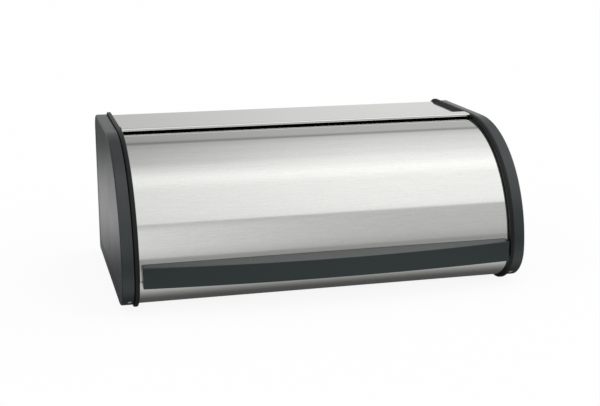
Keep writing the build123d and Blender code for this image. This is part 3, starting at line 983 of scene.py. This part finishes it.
@dataclass
class Door:
    """The curved steel panel and its handle."""

    outline: Outline
    finishes: Finishes
    gauge: float = 0.7 * MM
    hem: float = 5.0 * MM
    hem_round: float = 1.1 * MM
    low_angle: float = -3.6
    high_angle: float = 97.0
    handle_round: float = 0.9 * MM
    bow_top: float = 15.2 * MM
    bow_bottom: float = 9.6 * MM
    ledge_slope: float = 1.3 * MM
    handle_gap: float = 0.2 * MM
    columns: int = 48
    lip_drop: float = 6.0 * MM
    lip_clearance: float = 0.9 * MM

    def radius(self) -> float:
        """Radius of the panel's outer face."""
        low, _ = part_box("door_panel")
        return self.outline.axis_y - low.y

    def build_panel(self) -> None:
        """Sweeps the panel about its axis, with both long edges turned in."""
        o = self.outline
        low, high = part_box("door_panel")
        radius = self.radius()
        bench = Bench("steel_door")
        angle = radians(180 - self.high_angle)
        across = Vector((0, cos(angle), sin(angle)))
        start = Vector((low.x, o.axis_y, o.axis_z)) + across * (radius - self.hem)
        bench.point(*start).draw([(high.x - low.x, 0, 0)]).everything()
        inner = radius - self.hem_round
        along = degrees(self.hem_round / radius)
        rise = across * (self.hem - self.hem_round)
        bend_angle = radians(180 - self.high_angle + along)
        bend = (o.axis_y + inner * cos(bend_angle), o.axis_z + inner * sin(bend_angle))
        foot_angle = radians(180 - self.low_angle - along)
        foot = (o.axis_y + inner * cos(foot_angle), o.axis_z + inner * sin(foot_angle))
        span = self.high_angle - self.low_angle - 2 * along
        down = Vector((0, cos(radians(180 - self.low_angle)), sin(radians(180 - self.low_angle))))
        fall = down * -(self.hem - self.hem_round)
        bench.walk([
            Run(rise.y, rise.z),
            Turn(*bend, 90 + along, 6),
            Turn(o.axis_y, o.axis_z, span, steps_for(radius, span)),
            Turn(*foot, 90 + along, 6),
            Run(fall.y, fall.z),
        ])
        bench.weld()
        bench.outwards_from(Vector((0, o.axis_y, o.axis_z)))
        bench.modify("SOLIDIFY", thickness=self.gauge, offset=-1, use_even_offset=True)
        piece = bench.finish()
        self.finishes.dress(piece, "stainless_door")
        place(piece, Body.DOOR, ["door_panel"])

    def build_handle(self) -> None:
        """The bowed bar: two arcs bridged, a sloping ledge and room for the front lip."""
        o = self.outline
        low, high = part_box("handle")
        ledge = high.z
        top = ledge - self.ledge_slope
        half = high.x
        front = low.y + self.bow_top
        back = o.axis_y - self.radius() - self.handle_gap
        bench = Bench("handle_bar")
        bench.block(Vector((-half, front, low.z)), Vector((half, back, ledge)))
        bench.pick("edges", lambda m, e: abs(e.verts[0].co.x - e.verts[1].co.x) > half)
        bpy.ops.mesh.subdivide(number_cuts=self.columns - 1)
        self.bow(front, low.z, self.bow_bottom, half)
        self.bow(front, ledge, self.bow_top, half)
        bench.pick("verts", lambda m, v: m.y < back - MM and m.z > ledge - NEAR)
        bpy.ops.transform.translate(value=(0, 0, top - ledge))
        bench.outwards()
        bench.pick_sharp(lambda m: m.y < back - NEAR, 30).bevel(self.handle_round, 4)
        bench.rest()
        lip_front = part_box("body_shell")[0].y - self.lip_clearance
        lip_top = o.axis_z - self.lip_drop + self.lip_clearance
        room = Bench("lip_room").block(
            Vector((-2 * half, lip_front, low.z - self.hem)),
            Vector((2 * half, back + self.hem, lip_top)),
        )
        bench.cut(room.rest())
        piece = bench.finish()
        self.finishes.dress(piece, "handle_plastic")
        place(piece, Body.DOOR, ["handle"])

    @staticmethod
    def bow(front: float, height: float, rise: float, half: float) -> None:
        """Moves the bar's front points at a height on to an arc.

        Args:
            front: y of the points at the ends.
            height: z of the row of points.
            rise: how far the middle stands forward.
            half: half the bar's length.
        """
        arc = (half**2 + rise**2) / (2 * rise)
        shape = bmesh.from_edit_mesh(bpy.context.object.data)
        for point in shape.verts:
            if abs(point.co.y - front) < NEAR and abs(point.co.z - height) < NEAR:
                point.co.y -= (arc**2 - point.co.x**2) ** 0.5 - (arc - rise)
        bmesh.update_edit_mesh(bpy.context.object.data)

    def build(self) -> None:
        """Builds the panel and the handle."""
        self.build_panel()
        self.build_handle()


# ---------------------------------------------------------------------------------
# Studio
# ---------------------------------------------------------------------------------


@dataclass
class Studio:
    """Pale floor, soft surroundings and the camera."""

    outline: Outline
    view_from: tuple[float, float, float] = (-0.3337, -1.2747, 0.4004)
    yaw: float = 0.2551
    pitch: float = 0.2431
    lens: float = 70.1
    sensor: float = 36
    white: float = 0.90
    bands: Levels = (
        (-40, 0.5), (-4, 0.60), (12, 0.76), (24, 0.78), (31, 0.79), (32.6, 0.72), (33.6, 1.36),
        (44, 1.42), (66, 1.46), (79, 1.68), (92, 1.44), (104, 1.23), (118, 1.09), (131, 0.90),
        (134.2, 0.44), (136, 0.44), (139, 0.72), (150, 0.70), (158, 0.64), (167, 0.98),
        (180, 1.1),
    )
    fall: Levels = ((25, -0.48), (36, 0.23), (84, 0.23), (102, 0.48), (126, 0.48), (150, 0.3))
    floor_radius: float = 6.0
    floor_grey: float = 0.12
    glow_everywhere: float = 0.07
    glow_behind: float = 0.5
    glow_ahead: tuple[float, float] = (0.3, 0.2)
    behind_rise: tuple[float, float] = (0.02, 0.33)
    behind_fade: tuple[float, float] = (0.42, 0.88)
    ahead_edge: tuple[float, float] = (-0.142, -0.102)
    ahead_rise: tuple[float, float] = (-0.45, -0.16)
    end_rise: tuple[float, float] = (-0.55, -0.28)

    def build_camera(self) -> None:
        """Sets the camera in front, beyond the left end and above."""
        o = self.outline
        data = bpy.data.cameras.new("camera")
        data.lens = self.lens
        data.sensor_width = self.sensor
        data.sensor_fit = "HORIZONTAL"
        camera = bpy.data.objects.new("camera", data)
        x, y, z = self.view_from
        camera.location = (x, (o.front + o.back) / 2 + y, o.low + z)
        camera.rotation_euler = (pi / 2 - self.pitch, 0, -self.yaw)
        bpy.context.scene.collection.objects.link(camera)
        bpy.context.scene.camera = camera

    def build_surroundings(self) -> None:
        """Lights the box from all round, in long bands that run along it."""
        world = bpy.data.worlds.new("studio")
        world.use_nodes = True
        bpy.context.scene.world = world
        graph = Graph(world.node_tree)
        way = graph.node("ShaderNodeTexCoord").out("Generated")
        parts = graph.node("ShaderNodeSeparateXYZ", None, {"Vector": way})
        ahead = parts.value("Y") * -1.0
        turn = parts.value("Z").turn_from(ahead)
        level = self.profile(turn, self.bands)
        fall = self.profile(turn, self.fall)
        aside = 1.0 - parts.value("X").step(0.0, 0.35)
        level = level * (1.0 - aside * fall)
        seen = graph.node("ShaderNodeLightPath").value("Is Camera Ray")
        strength = level + seen * (self.white - level)
        shine = graph.node("ShaderNodeBackground", None, {"Strength": strength})
        graph.node("ShaderNodeOutputWorld", None, {"Surface": shine})

    @staticmethod
    def profile(turn: Value, stops: Levels) -> Value:
        """A level that follows the elevation.

        Args:
            turn: elevation in radians, from the front horizon over the top.
            stops: pairs of an elevation in degrees and the level there, rising.

        Returns:
            The smooth run through the stops.
        """
        level: Value | float = stops[0][1]
        for (at, this), (then, following) in zip(stops, stops[1:]):
            level = turn.step(radians(at), radians(then)) * (following - this) + level
        return level

    def build_floor(self) -> None:
        """A wide pale floor whose emission paints light: an even white glow to the camera, and painted glow in
        bands behind and ahead of the box, dimmer past the left end, that shows in the steel's reflections and
        lights the box.
        """
        bpy.ops.object.select_all(action="DESELECT")
        bpy.ops.mesh.primitive_circle_add(
            vertices=96, radius=self.floor_radius, fill_type="NGON", location=(0, 0, 0)
        )
        floor = bpy.context.object
        floor.name = "floor"
        material = bpy.data.materials.new("floor")
        material.use_nodes = True
        graph = Graph(material.node_tree)
        place_on = graph.node("ShaderNodeTexCoord").out("Object")
        parts = graph.node("ShaderNodeSeparateXYZ", None, {"Vector": place_on})
        y, x = parts.value("Y"), parts.value("X")
        # Painted light on the floor for all but camera rays: a bright band behind the box, a band ahead of it, a
        # faint glow everywhere, dimmer past the left end.
        behind = y.step(*self.behind_rise) * (1.0 - y.step(*self.behind_fade)) * self.glow_behind
        more, least = self.glow_ahead
        ahead = (1.0 - y.step(*self.ahead_edge)) * (y.step(*self.ahead_rise) * more + least)
        painted_glow = (behind + ahead) * x.step(*self.end_rise) + self.glow_everywhere
        seen = graph.node("ShaderNodeLightPath").value("Is Camera Ray")
        glow = painted_glow + seen * (self.white - painted_glow)
        inputs = {
            "Base Color": (self.floor_grey, self.floor_grey, self.floor_grey, 1),
            "Roughness": 0.9,
            "Specular IOR Level": 0.0,
            "Emission Color": glow,
            "Emission Strength": 1.0,
        }
        shader = graph.node("ShaderNodeBsdfPrincipled", None, inputs)
        graph.node("ShaderNodeOutputMaterial", None, {"Surface": shader})
        floor.data.materials.append(material)

    def build(self) -> None:
        """Builds the whole studio."""
        bpy.context.scene.view_settings.view_transform = "Standard"
        self.build_camera()
        self.build_surroundings()
        self.build_floor()


def main() -> None:
    """Builds the studio first, then each sub-assembly in order."""
    logging.basicConfig(level=logging.INFO, format="%(name)s: %(message)s")
    outline = Outline.from_frame()
    Studio(outline).build()
    finishes = Finishes()
    finishes.dress_nodes()
    for side in Side:
        End(side, outline, finishes).build()
    Shell(outline, finishes).build()
    Door(outline, finishes).build()


if __name__ == "__main__":
    main()
